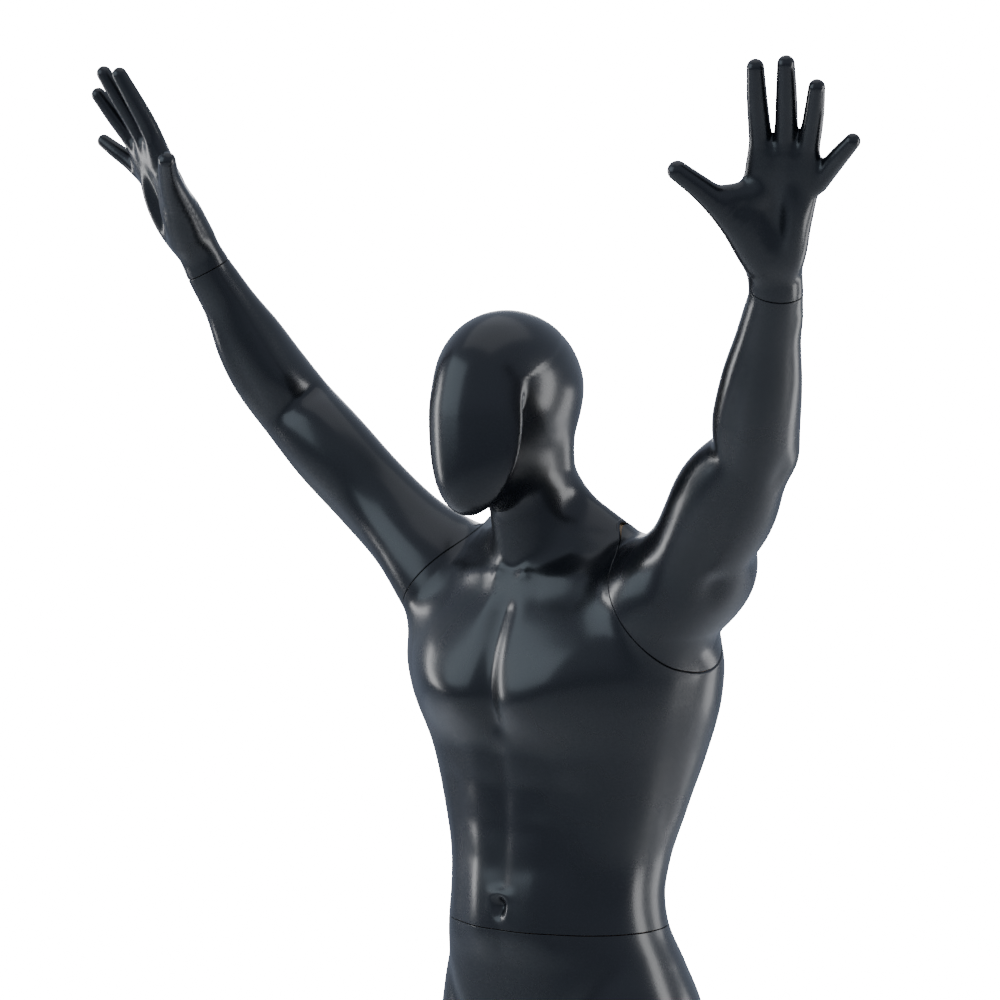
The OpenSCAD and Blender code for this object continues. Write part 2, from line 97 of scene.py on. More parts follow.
def spline(knots, values, at):
    """Smooth curve through given values, held at both ends."""
    knots = np.asarray(knots, float)
    values = np.asarray(values, float)
    slopes = np.gradient(values, knots, axis=0)
    at = np.clip(at, knots[0], knots[-1])
    i = np.clip(np.searchsorted(knots, at, side="right") - 1, 0, len(knots) - 2)
    step = knots[i + 1] - knots[i]
    t = (at - knots[i]) / step
    if values.ndim > 1:
        step = step[:, None]
        t = t[:, None]
    rise = 3 * t**2 - 2 * t**3
    start = t * (1 - t) ** 2 * step
    end = t**2 * (t - 1) * step
    return values[i] * (1 - rise) + values[i + 1] * rise + slopes[i] * start + slopes[i + 1] * end


def join(a, b, reach):
    """Union of two shapes with a fillet of about that reach."""
    h = np.clip(0.5 + 0.5 * (b - a) / reach, 0, 1)
    return b + (a - b) * h - reach * h * (1 - h)


def meld(a, b, reach):
    """Union that starts and ends more gently than join, for surfaces that mirror the light."""
    h = np.maximum(reach - np.abs(a - b), 0) / reach
    return np.minimum(a, b) - h**3 * reach / 6


def carve(a, b, reach):
    """Shape a without shape b, with a soft edge."""
    return -join(-a, b, reach)


def up_to(d, height, reach):
    """Shape d ended by a soft cap, where height is how far a point lies past the end."""
    return -join(-d, -height, reach)


def near(p, low, high, shape):
    """A shape worked out only inside a box, and far away elsewhere."""
    inside = np.all((p > low) & (p < high), axis=1)
    out = np.full(len(p), FAR)
    if inside.any():
        out[inside] = shape(p[inside])
    return out


def mirrored(low, high):
    """The corners of the same box on the other side of the body."""
    return np.array([-high[0], low[1], low[2]]), np.array([-low[0], high[1], high[2]])


def ellipsoid(p, at, size):
    q = p - np.asarray(at, float)
    size = np.asarray(size, float)
    k = np.linalg.norm(q / size, axis=1)
    slope = np.linalg.norm(q / size**2, axis=1)
    return k * (k - 1) / np.maximum(slope, 1e-6)


def capsule(p, a, b, start, end):
    """Rod from a to b whose radius goes from start to end."""
    a = np.asarray(a, float)
    along = np.asarray(b, float) - a
    t = np.clip((p - a) @ along / (along @ along), 0, 1)
    return np.linalg.norm(p - a - t[:, None] * along, axis=1) - (start + (end - start) * t)


def hill(u, v, at, size, height, turn=0.0):
    """Soft bump, or hollow where height is negative, on a plane with coordinates u and v."""
    c, s = math.cos(math.radians(turn)), math.sin(math.radians(turn))
    du, dv = u - at[0], v - at[1]
    return height * np.exp(-(((c * du + s * dv) / size[0]) ** 2) - ((c * dv - s * du) / size[1]) ** 2)


def stroke(u, v, path, width, height):
    """Soft ridge, or groove where height is negative, along a line on a plane."""
    nearest = np.full(len(u), np.inf)
    for (au, av), (bu, bv) in zip(path, path[1:]):
        lu, lv = bu - au, bv - av
        t = np.clip(((u - au) * lu + (v - av) * lv) / (lu * lu + lv * lv), 0, 1)
        nearest = np.minimum(nearest, (u - au - t * lu) ** 2 + (v - av - t * lv) ** 2)
    return height * np.exp(-nearest / width**2)


def loft(p, stations):
    """Upright body. Each station is a height, the section's centre x and y, its half width, its
    depth to the front and to the back, and its squareness, where 2 is an ellipse."""
    rows = np.array(stations, float)
    cx, cy, half, front, back, square = spline(rows[:, 0], rows[:, 1:], p[:, 2]).T
    x, y = p[:, 0] - cx, p[:, 1] - cy
    depth = np.where(y < 0, front, back)
    k = (np.abs(x / half) ** square + np.abs(y / depth) ** square) ** (1 / square)
    r = np.hypot(x, y)
    return r - r / np.maximum(k, 1e-3)


class Sweep:
    """Limb along a smooth path. Each station is a point, the half size towards the limb's front
    and the half size across it. The front is kept as near as possible to the given direction."""

    def __init__(self, stations, front, rings=6):
        self.points = np.array([s[0] for s in stations], float)
        self.sizes = np.array([s[1] for s in stations], float)
        self.count = len(stations)
        self.front = unit(front)
        places = np.arange(self.count)
        self.t = np.linspace(0, self.count - 1, rings * (self.count - 1) + 1)
        self.path = spline(places, self.points, self.t)

    def frame_at(self, t):
        places = np.arange(self.count)
        centre = spline(places, self.points, t)
        ahead = spline(places, self.points, np.minimum(t + 0.05, self.count - 1))
        behind = spline(places, self.points, np.maximum(t - 0.05, 0))
        along = ahead - behind
        along /= np.linalg.norm(along, axis=1)[:, None]
        front = self.front - along * (along @ self.front)[:, None]
        front /= np.linalg.norm(front, axis=1)[:, None]
        return centre, along, front, np.cross(along, front)

    def locate(self, p):
        """Each point's place along the limb, in stations, averaged over the nearest samples."""
        gaps = np.sum(self.path**2, axis=1) - 2 * p @ self.path.T
        gaps -= gaps.min(axis=1)[:, None]
        weights = np.exp(-gaps / BLEND)
        return weights @ self.t / weights.sum(axis=1)

    def distance(self, p, relief=None):
        """Distance to the limb. relief gives extra radius from the place along the limb and the
        angle around it in degrees, from -180 to 180, where 0 is the front."""
        place = self.locate(p)
        centre, along, front, side = self.frame_at(place)
        sizes = spline(np.arange(self.count), self.sizes, place)
        q = p - centre
        f, s, e = (np.sum(q * axis, axis=1) for axis in (front, side, along))
        mean = sizes.mean(axis=1)
        k = np.sqrt((f / sizes[:, 0]) ** 2 + (s / sizes[:, 1]) ** 2 + (e / mean) ** 2)
        r = np.linalg.norm(q, axis=1)
        d = r - r / np.maximum(k, 1e-3)
        if relief is not None:
            d = d - relief(place, np.degrees(np.arctan2(s, f)))
        return d


def lobe(place, angle, at, size, height):
    """Bump on a limb, at a place along it and an angle around it."""
    turn = (angle - at[1] + 180) % 360 - 180
    return height * np.exp(-(((place - at[0]) / size[0]) ** 2) - (turn / size[1]) ** 2)


# ---- trunk and head ----

TRUNK = [
    # z, centre x, centre y, half width, front, back, squareness
    [850, 0, 12, 168, 86, 124, 2.2],
    [890, 0, 13, 174, 95, 133, 2.2],
    [930, 2, 14, 178, 103, 140, 2.2],
    [980, 4, 16, 178, 110, 140, 2.2],
    [1034, 4, 16, 168, 114, 129, 2.15],
    [1080, 2, 10, 155, 112, 120, 2.1],
    [1125, 0, 1, 143, 108, 110, 2.1],
    [1160, 0, 0, 138, 105, 106, 2.15],
    [1200, 0, 4, 141, 104, 108, 2.2],
    [1260, 0, 12, 157, 110, 116, 2.25],
    [1330, 0, 18, 179, 123, 128, 2.25],
    [1400, 0, 14, 205, 139, 136, 2.25],
    [1450, 0, 10, 213, 133, 134, 2.2],
    [1500, 0, 8, 198, 112, 124, 2.15],
    [1540, 0, 8, 158, 92, 104, 2.1],
    [1570, 0, 4, 122, 72, 84, 2.0],
    [1595, 0, -8, 82, 60, 68, 2.0],
    [1620, 0, -26, 54, 50, 54, 2.0],
    [1650, 0, -42, 44, 40, 46, 2.0],
]
CROTCH_Z = 878

# The neck and the sides and back of the head, up to where the skull's dome takes over.
NECK = [
    [1550, 0, -12, 60, 70, 68, 2.1],
    [1600, 0, -28, 52, 68, 62, 2.1],
    [1630, 0, -39, 49, 66, 59, 2.1],
    [1660, 0, -49, 49, 70, 56, 2.2],
    [1703, 0, -60, 55, 76, 58, 2.3],
    [1732, 0, -68, 61, 80, 71, 2.3],
    [1766, 0, -78, 65, 84, 84, 2.1],
    [1800, 0, -80, 58, 76, 76, 2.0],
]


def front_of(p, y):
    """1 on the front of the body and 0 on its back, changing smoothly about a plane."""
    return 1 / (1 + np.exp((p[:, 1] - y) / 14.0))


def chest_relief(x, z):
    """Heights of the muscles on the front of the body. x is measured from the middle."""
    a = np.abs(x)
    h = hill(a, z, (66, 1408), (56, 46), 10)
    h += hill(a, z, (120, 1440), (50, 42), 6, 25)
    h += hill(a, z, (44, 1392), (30, 30), 4)
    h += stroke(a, z, [(24, 1352), (66, 1338), (112, 1350), (156, 1392)], 24, -2.5)
    h += stroke(x, z, [(0, 1372), (0, 1450), (0, 1500)], 17, -6.5)
    h += stroke(a, z, [(26, 1546), (74, 1548), (124, 1560)], 15, 2.5)
    h += stroke(a, z, [(48, 1516), (96, 1516)], 20, -3)
    h += hill(x, z, (0, 1556), (13, 11), -7)
    h += hill(a, z, (19, 1545), (10, 9), 3.5)
    return h


def belly_relief(x, z):
    """Heights of the abdominal muscles, the navel and the lines above the hips."""
    a = np.abs(x)
    h = stroke(a, z, [(30, 1120), (34, 1230), (38, 1325)], 26, 2.5)
    h += stroke(x, z, [(0, 1180), (0, 1330)], 13, -2.2)
    for height in (1198, 1244, 1292):
        h += stroke(a, z, [(18, height), (50, height + 5)], 14, -0.7)
    h += stroke(a, z, [(72, 1130), (76, 1220), (86, 1290)], 20, -1.8)
    h += stroke(a, z, [(146, 1092), (104, 1040), (52, 972), (34, 930)], 17, -3.5)
    h += hill(x, z, (0, 1152), (7.5, 10), -10)
    h += hill(x, z, (0, 1167), (13, 7), 4.0)
    h += hill(a, z, (13, 1150), (7, 14), 1.0)
    return h


def back_relief(x, z):
    """Heights of the muscles on the back."""
    a = np.abs(x)
    h = stroke(x, z, [(0, 1090), (0, 1300), (0, 1480)], 21, -7)
    h += stroke(x, z, [(0, 1480), (0, 1580)], 17, -4)
    h += stroke(a, z, [(36, 1080), (38, 1200), (34, 1330)], 26, 4)
    h += hill(a, z, (112, 1450), (44, 36), 9, -20)
    h += hill(a, z, (60, 1520), (44, 34), 7)
    h += stroke(a, z, [(62, 1395), (72, 1440), (84, 1500)], 19, -3)
    h += stroke(a, z, [(92, 1500), (150, 1520)], 17, 3)
    h += hill(a, z, (128, 1360), (46, 56), 7, 12)
    h += stroke(a, z, [(52, 1200), (90, 1240), (128, 1290)], 16, -3)
    h += hill(a, z, (46, 1082), (12, 14), -4)
    return h


def flank_relief(y, z):
    """Heights on the side of the body: the edge of the broad back muscle and the waist."""
    h = stroke(y, z, [(-20, 1440), (-8, 1340), (10, 1260)], 20, -1.5)
    h += hill(y, z, (-40, 1165), (44, 34), 2)
    return h


def seat_relief(x, z):
    """Heights of the buttocks and the furrow between them."""
    a = np.abs(x)
    h = hill(a, z, (78, 955), (62, 66), 20)
    h += stroke(x, z, [(0, 860), (0, 960), (0, 1012)], 17, -20)
    h += hill(a, z, (150, 965), (26, 44), -6)
    return h


def muscled(d, p):
    """Adds the relief of the trunk to a distance, front, back and sides."""
    x, y, z = p.T
    front = front_of(p, -30)
    back = 1 - front_of(p, 40)
    side = np.clip((np.abs(x) - 90) / 60, 0, 1) ** 2
    groin = hill(x, z, (0, 905), (32, 38), 14)
    relief = front * (chest_relief(x, z) + belly_relief(x, z) + groin) * (1 - 0.6 * side)
    relief += back * (back_relief(x, z) * (1 - 0.6 * side) + seat_relief(x, z))
    relief += side * flank_relief(y, z)
    return d - relief


def shoulder_slopes(p):
    """The muscles that run from the sides of the neck to the shoulders."""
    q = np.abs(p * [1, 0, 0]) + p * [0, 1, 1]
    return capsule(q, (20, -16, 1640), (116, 8, 1553), 17, 34)


def face_mask(p):
    """Smooth egg-shaped face that leans forward to the chin and ends behind along the jaw."""
    y, rise = p[:, 1], p[:, 2] - 1729
    drop = np.clip(-rise / 118, 0, 1.1)
    centred = p - [0, -100, 1729]
    centred[:, 1] += 46 * drop**2
    egg = ellipsoid(centred, (0, 0, 0), (74, 100, 117))
    behind = y + 139 + 20 * drop**2 - 1.6 * np.clip(rise - 45, 0, 60)
    return -join(-egg, -behind, 7)


def head(p):
    """Smooth faceless head. The face stands clear of the neck along the jaw and runs smoothly
    into the skull above the temples."""
    skull = ellipsoid(p, (0, -88, 1766), (74, 100, 84))
    back = meld(skull, up_to(loft(p, NECK), p[:, 2] - 1784, 20), 22)
    jaw = ellipsoid(p, (0, -124, 1692), (44, 56, 70))
    blending = spline([1690, 1730, 1765, 1800, 1835], [7, 9, 12, 22, 30], p[:, 2])
    return meld(join(back, jaw, 22), face_mask(p), blending)


def trunk(p):
    """Hips, torso, neck and head."""
    z = p[:, 2]
    d = muscled(loft(p, TRUNK), p)
    d = up_to(d, z - 1650, 16)
    d = up_to(d, CROTCH_Z - z, 44)
    low = np.array([-140, -260, 1520])
    high = np.array([140, 80, 1900])
    d = join(d, near(p, low, high, head), 18)
    return join(d, shoulder_slopes(p), 22)


# ---- arms ----

LEFT_ARM = Sweep([
    # point, half size to the front and across
    [(118, 2, 1478), (68, 80)],
    [(162, -6, 1516), (72, 82)],
    [(212, -15, 1557), (62, 72)],
    [(259, -39, 1601), (56, 58)],
    [(309, -61, 1648), (54, 53)],
    [(352, -81, 1697), (48, 47)],
    [(376, -104, 1739), (46, 44)],
    [(400, -129, 1781), (43, 40)],
    [(426, -153, 1825), (35, 33)],
    [(454, -178, 1871), (29.5, 29)],
    [(468, -193, 1903), (27, 26)],
], (-0.78, -0.5, 0.37))

# The right arm is written as a left arm and mirrored when it is used.
RIGHT_ARM = Sweep([
    [(118, 0, 1494), (61, 86)],
    [(162, -10, 1534), (61, 74)],
    [(214, -22, 1578), (53, 55)],
    [(273, -33, 1629), (52, 50)],
    [(326, -55, 1687), (52, 51)],
    [(368, -72, 1738), (48, 48)],
    [(385, -97, 1779), (45, 45)],
    [(397, -123, 1822), (41, 41)],
    [(406, -148, 1864), (34, 32)],
    [(415, -173, 1904), (29.5, 29)],
    [(424, -186, 1934), (27, 26)],
], (-0.78, -0.5, 0.37))


def arm_relief(place, angle):
    """Muscles of an arm. 0 degrees is the biceps, 180 the triceps, and 90 faces forward."""
    h = lobe(place, angle, (3.7, 0), (0.9, 46), 6.0)
    h += lobe(place, angle, (3.1, 180), (1.0, 50), 5.0)
    h += lobe(place, angle, (3.5, 92), (1.3, 20), -2.5)
    h += lobe(place, angle, (3.5, -92), (1.3, 20), -2.5)
    h += lobe(place, angle, (4.5, 180), (0.45, 34), -3.0)
    h += lobe(place, angle, (5.05, 186), (0.34, 20), 3.0)
    h += lobe(place, angle, (5.0, 145), (0.4, 18), -3.0)
    h += lobe(place, angle, (5.0, -140), (0.4, 18), -3.0)
    h += lobe(place, angle, (4.95, 5), (0.32, 44), -4.5)
    h += lobe(place, angle, (5.9, 20), (0.95, 38), 4.5)
    h += lobe(place, angle, (6.2, 115), (1.1, 46), 4.0)
    h += lobe(place, angle, (6.0, -110), (1.1, 46), 2.0)
    h += lobe(place, angle, (6.6, 66), (1.4, 15), -2.0)
    h += lobe(place, angle, (8.5, 180), (0.35, 26), 1.5)
    h += lobe(place, angle, (1.7, 55), (0.7, 46), 5.0)
    h += lobe(place, angle, (2.5, 20), (0.7, 22), -2.0)
    return h


def left_arm(p):
    """The left arm, with a rounder shoulder than the right one and a fold at the armpit."""

    def relief(place, angle):
        shoulder = lobe(place, angle, (1.9, -156), (0.7, 46), 16.0)
        shoulder += lobe(place, angle, (3.0, -160), (0.3, 32), -7.0)
        shoulder += lobe(place, angle, (3.9, -10), (0.8, 40), 4.0)
        armpit = lobe(place, angle, (2.6, 122), (0.34, 17), -8.0)
        return arm_relief(place, angle) + shoulder + armpit

    return LEFT_ARM.distance(p, relief)


def right_arm(p):
    return RIGHT_ARM.distance(p * MIRROR, arm_relief)


# ---- legs and feet ----

LEFT_LEG = [
    # z, centre x, centre y, half width, front, back, squareness
    [70, 114, 28, 32, 40, 34, 2.0],
    [110, 114, 26, 31, 38, 36, 2.0],
    [150, 114, 25, 31, 33, 35, 2.0],
    [200, 114, 23, 35, 36, 38, 2.0],
    [280, 113, 20, 45, 44, 50, 2.1],
    [370, 112, 16, 54, 50, 62, 2.1],
    [430, 111, 8, 53, 52, 60, 2.1],
    [480, 110, 0, 51, 54, 54, 2.1],
    [530, 109, -6, 54, 58, 54, 2.15],
    [580, 108, -8, 57, 63, 58, 2.1],
    [650, 106, -8, 65, 72, 68, 2.1],
    [740, 103, -4, 75, 82, 80, 2.1],
    [830, 100, 0, 83, 90, 90, 2.1],
    [900, 96, 4, 84, 90, 96, 2.1],
    [950, 92, 6, 78, 84, 90, 2.0],
]
# The right leg stands a little further forward and out.
RIGHT_STEP = np.array([-10.0, -8.0, 0.0])
RIGHT_KNEE_FORWARD = 18.0
FOOT_TURN = 8.0
TOES = [
    # base, tip and thickness
    ((-22, -128, 17), (-20, -182, 14), 14.5),
    ((-1, -138, 15), (2, -182, 12), 10.5),
    ((14, -134, 14), (18, -174, 11.5), 9.8),
    ((27, -128, 13), (32, -162, 11), 9.2),
    ((38, -118, 12), (44, -147, 10.5), 9.0),
]
TOE_TAPER = 0.88


def leg_relief(z, angle):
    """Muscles of a left leg. 0 degrees is the front, 90 the outer side and 180 the back."""

    def at(height, around, tall, wide, amount):
        return lobe(z, angle, (height, around), (tall, wide), amount)

    h = at(760, 2, 110, 26, 4) + at(720, 58, 120, 34, 5) + at(602, -42, 40, 26, 9)
    h += at(630, 44, 36, 22, 5) + at(660, 24, 90, 10, -2) + at(680, -22, 80, 10, -2)
    h += at(700, 150, 130, 26, 5) + at(700, -150, 130, 26, 5) + at(690, 180, 130, 14, -3)
    h += at(533, 0, 22, 24, 7) + at(536, 42, 26, 14, -4) + at(536, -42, 26, 14, -4)
    h += at(492, 0, 16, 14, 4) + at(566, 0, 12, 22, -2.5) + at(528, 180, 34, 34, -5)
    h += at(388, -150, 56, 34, 8) + at(404, 150, 50, 32, 6) + at(372, 178, 60, 9, -3)
    h += at(312, -160, 16, 36, -1.5) + at(322, 150, 16, 34, -1.5)
    h += at(360, -14, 130, 10, 2.5) + at(370, 28, 90, 20, 3.5)
    h += at(170, 180, 60, 18, 5) + at(160, 128, 50, 20, -3.5) + at(160, -128, 50, 20, -3.5)
    h += at(92, 98, 14, 20, 6) + at(102, -88, 14, 22, 7)
    return h


def left_leg(p):
    x, y, z = p.T
    rows = np.array(LEFT_LEG, float)
    cx, cy = spline(rows[:, 0], rows[:, 1:3], z).T
    angle = np.degrees(np.arctan2(x - cx, -(y - cy)))
    return up_to(loft(p, LEFT_LEG) - leg_relief(z, angle), z - 962, 24)


def foot(p):
    """Left foot: its ankle is above the origin, its toes point to -Y and its sole is at z = 0."""
    d = ellipsoid(p, (0, 14, 36), (31, 34, 38))
    d = join(d, capsule(p, (0, 2, 92), (2, -40, 44), 33, 30), 20)
    d = join(d, capsule(p, (1, -30, 46), (-6, -120, 24), 29, 21), 22)
    d = join(d, ellipsoid(p, (4, -118, 20), (44, 38, 20)), 20)
    d = join(d, ellipsoid(p, (20, -60, 18), (20, 62, 19)), 20)
    for base, tip, thick in TOES:
        d = join(d, capsule(p, base, tip, thick, thick * TOE_TAPER), 5)
    arch = ellipsoid(p, (-34, -62, 2), (22, 46, 17))
    return carve(d, arch, 12)


def turned(p, at, degrees):
    """Points as seen from a frame that stands at a place and is turned about the vertical."""
    c, s = math.cos(math.radians(degrees)), math.sin(math.radians(degrees))
    q = p - np.asarray(at, float)
    return np.stack([c * q[:, 0] + s * q[:, 1], c * q[:, 1] - s * q[:, 0], q[:, 2]], axis=1)


SOLE_Z = PLATE_TOP + 0.3                # the soles stand just clear of the base plate


def left_leg_and_foot(p):
    ankle = (114, 26, SOLE_Z)
    d = join(left_leg(p), foot(turned(p, ankle, FOOT_TURN)), 16)
    return up_to(d, SOLE_Z - p[:, 2], 7)


def right_leg_and_foot(p):
    """The left leg mirrored, set forward, with the knee a little bent."""
    bend = spline([0, 200, 530, 800, 1000], [0, -2, -1, 0, 0], p[:, 2]) * RIGHT_KNEE_FORWARD
    q = (p - RIGHT_STEP * np.clip((930 - p[:, 2]) / 400, 0, 1)[:, None]) * MIRROR
    q[:, 1] -= bend * 0.5
    return left_leg_and_foot(q)


def lower_figure(p):
    """Hips with both legs and feet."""
    low = np.array([-20.0, -260, -20])
    high = np.array([230.0, 200, 1010])
    d = join(trunk(p), near(p, low, high, left_leg_and_foot), 26)
    return join(d, near(p, *mirrored(low, high), right_leg_and_foot), 26)


# ---- hands ----

# A hand is drawn in its own frame: the wrist joint is the origin, Z runs towards the fingers,
# X towards the little finger, and the palm faces -Y.
LEFT_FINGERS_TO = (0.29, -0.39, 0.873)
RIGHT_FINGERS_TO = (-0.207, -0.397, 0.894)
LEFT_PALM_TURN = 25.6                   # the palms face outwards by these angles
RIGHT_PALM_TURN = 17.7
WRIST_BLEND = 22                        # the arm turns into the hand over twice this length

PALM = [
    # z, centre x, centre y, half width, palm side, back, squareness
    [-45, 0, 0, 30, 29, 29, 2.0],
    [0, -1, 0, 30, 28, 27, 2.0],
    [28, -2, 0, 30, 27, 22, 2.05],
    [50, -2, 0, 31, 26, 18, 2.15],
    [72, -1, 0, 33, 23, 15, 2.3],
    [98, 2.5, -1, 37, 21, 14, 2.5],
    [125, 5, -1, 40, 19, 13, 2.6],
    [150, 7.5, -1, 40, 15, 12, 2.6],
    [172, 8, -1, 35, 10, 11, 2.5],
]
FINGERS = [
    # points from the knuckle to the tip, with the radius at each
    [(-16, 1, 150, 12.6), (-19, 1, 190, 11.8), (-21, -2, 226, 10.8), (-22, -5, 261, 9.2)],
    [(8, 2, 152, 12.8), (9.5, 1, 196, 12.0), (10.3, -3, 234, 11.0), (10.5, -7, 269, 9.2)],
    [(28, 1, 148, 12.4), (35, 0, 184, 11.6), (40, -5, 216, 10.6), (43.5, -10, 247, 8.9)],
    [(43, 0, 134, 12.0), (58, -3, 156, 10.8), (70, -8, 174, 9.8), (82, -12, 191, 8.4)],
]
THUMB = [(-10, -8, 48, 24), (-33, -15, 80, 20.5), (-55, -24, 109, 16), (-76, -31, 131, 12.6),
         (-98, -36, 150, 10.8)]


def finger(p, points):
    """Smooth rod through given points, each with a radius."""
    knots = np.arange(len(points))
    steps = spline(knots, points, np.linspace(0, knots[-1], 4 * knots[-1] + 1))
    d = np.full(len(p), FAR)
    for a, b in zip(steps, steps[1:]):
        d = np.minimum(d, capsule(p, a[:3], b[:3], a[3], b[3]))
    return d


def hand_shape(p):
    """A hand in its own frame, with plain rounded fingers."""
    z = p[:, 2]
    d = up_to(loft(p, PALM), z - 176, 14)
    d = join(d, ellipsoid(p, (19, -12, 80), (17, 17, 48)), 14)
    d = join(d, ellipsoid(p, (-20, -15, 82), (21, 18, 42)), 14)
    d = carve(d, ellipsoid(p, (2, -39, 112), (15, 19, 46)), 14)
    d = join(d, finger(p, THUMB), 16)
    web = capsule(p, (-20, -9, 121), (-44, -18, 119), 10, 10)
    d = join(d, web, 14)
    for points in FINGERS:
        d = join(d, finger(p, points), 7)
    return d


def hand_axes(fingers_to, palm_turn, side):
    """Axes of a hand's own frame, as columns. side is 1 for the left hand and -1 for the right."""
    z = unit(fingers_to)
    turn = math.radians(palm_turn)
    palm = np.array([side * math.sin(turn), -math.cos(turn), 0])
    y = unit(z * (palm @ z) - palm)
    return np.stack([side * np.cross(y, z), y, z], axis=1)


LEFT_HAND_AXES = hand_axes(LEFT_FINGERS_TO, LEFT_PALM_TURN, 1)
RIGHT_HAND_AXES = hand_axes(RIGHT_FINGERS_TO, RIGHT_PALM_TURN, -1)


def left_hand(p):
    return hand_shape((p - LEFT_WRIST[0]) @ LEFT_HAND_AXES)


def right_hand(p):
    return hand_shape((p - RIGHT_WRIST[0]) @ RIGHT_HAND_AXES)


def arm_end(p, arm, hand, wrist):
    """An arm that turns into its hand over a few centimetres about the wrist."""
    past = (p - wrist[0]) @ wrist[1]
    share = np.clip((past + WRIST_BLEND) / (2 * WRIST_BLEND), 0, 1)
    share = share * share * (3 - 2 * share)
    d = np.zeros(len(p))
    on_arm, on_hand = share < 1, share > 0
    d[on_arm] += (1 - share[on_arm]) * arm(p[on_arm])
    d[on_hand] += share[on_hand] * hand(p[on_hand])
    return d


def left_limb(p):
    return arm_end(p, left_arm, left_hand, LEFT_WRIST)


def right_limb(p):
    return arm_end(p, right_arm, right_hand, RIGHT_WRIST)


def upper_figure(p):
    """Trunk with both arms and hands."""
    d = near(p, np.array([-300.0, -260, 800]), np.array([300.0, 300, 1900]), trunk)
    low = np.array([60, -340, 1380])
    high = np.array([620, 130, 2180])
    d = join(d, near(p, low, high, left_limb), 24)
    return join(d, near(p, *mirrored(low, high), right_limb), 24)


# ---- from shapes to meshes ----

BLOCK = 4                               # cells along the side of a sampling block
BATCH = 3000                            # blocks that are sampled at a time


def gradient(field, p, step=0.35):
    """Direction in which the field grows, and its value, from four samples around each point."""
    corners = np.array([[1, 1, 1], [1, -1, -1], [-1, 1, -1], [-1, -1, 1]], float)
    values = [field(p + c * step) for c in corners]
    slope = sum(v[:, None] * c for v, c in zip(values, corners)) / (4 * step)
    return slope, sum(values) / 4


def sampled(field, low, high, cell):
    """Values of a field on a grid. Only blocks of cells near the surface are worked out finely."""
    counts = (np.ceil((high - low) / (cell * BLOCK))).astype(int)
    axes = [low[i] + (np.arange(counts[i]) + 0.5) * BLOCK * cell - cell / 2 for i in range(3)]
    centres = np.stack(np.meshgrid(*axes, indexing="ij"), axis=-1).reshape(-1, 3)
    coarse = field(centres)
    close = np.abs(coarse) < BLOCK * cell * 1.5
    values = np.repeat(np.where(coarse < 0, -FAR, FAR), BLOCK**3).astype(np.float32)
    values = values.reshape(-1, BLOCK, BLOCK, BLOCK)
    steps = (np.arange(BLOCK) - (BLOCK - 1) / 2) * cell
    offsets = np.stack(np.meshgrid(steps, steps, steps, indexing="ij"), axis=-1).reshape(-1, 3)
    for part in np.array_split(np.flatnonzero(close), max(1, close.sum() // BATCH)):
        points = (centres[part][:, None] + offsets[None]).reshape(-1, 3)
        values[part] = field(points).reshape(-1, BLOCK, BLOCK, BLOCK)
    grid = values.reshape(*counts, BLOCK, BLOCK, BLOCK)
    return grid.transpose(0, 3, 1, 4, 2, 5).reshape(counts * BLOCK)


def steepness(slope):
    """Length of each gradient, kept off zero."""
    return np.maximum(np.linalg.norm(slope, axis=1), 0.2)


def evened(field, points, quads, cell):
    """Spreads the corners of a mesh evenly over the surface, then puts them exactly on it."""
    a = np.concatenate([quads.ravel(), np.roll(quads, 1, axis=1).ravel()])
    b = np.concatenate([np.roll(quads, 1, axis=1).ravel(), quads.ravel()])
    degree = np.maximum(np.bincount(a, minlength=len(points)), 1)[:, None]
    for _ in range(3):
        total = np.stack([np.bincount(a, points[b, i], len(points)) for i in range(3)], axis=1)
        move = total / degree - points
        slope, value = gradient(field, points)
        size = steepness(slope)[:, None]
        normal = slope / size
        points += 0.6 * (move - normal * np.sum(move * normal, axis=1)[:, None])
        points -= normal * np.clip(value / size[:, 0], -cell, cell)[:, None]
    for _ in range(2):
        slope, value = gradient(field, points)
        size = steepness(slope)
        points -= slope / size[:, None] * np.clip(value / size, -cell, cell)[:, None]
    return points


def surface(field, low, high, cell):
    """Corners and quads of the field's zero surface inside a box."""
    low = np.asarray(low, float)
    grid = sampled(field, low, np.asarray(high), cell)
    volume = vdb.FloatGrid(FAR)
    volume.copyFromArray(np.ascontiguousarray(grid))
    points, quads = volume.convertToQuads(0.0)
    quads = quads.astype(int)[:, ::-1]
    return evened(field, points.astype(float) * cell + low, quads, cell), quads


class Cut:
    """Where a shell ends at a joint: the joint's plane, the side that the shell is on (1 is the
    side the joint's direction points to), the points that the cut applies to, and the depth and
    floor radius of the pocket behind the opening."""

    def __init__(self, plane, side, zone, depth, floor):
        self.point, self.axis = plane
        self.out = -side * self.axis
        self.zone = zone
        self.depth = depth
        self.floor = floor

    def past(self, p):
        """How far points lie past the joint plane, as seen from the shell."""
        return (p - self.point) @ self.out

    def clip(self, d, p):
        return np.where(self.zone(p), np.maximum(d, self.past(p) - SPARE), d)


def anywhere(p):
    return np.ones(len(p), bool)


def right_side(p):
    return p[:, 0] < -6


def around(plane, reach=125.0):
    """Points near the axis of a joint."""
    point, axis = plane

    def zone(p):
        q = p - point
        return np.linalg.norm(q - np.outer(q @ axis, axis), axis=1) < reach

    return zone


def coordinates(verts):
    return np.array([v.co for v in verts]).reshape(-1, 3)


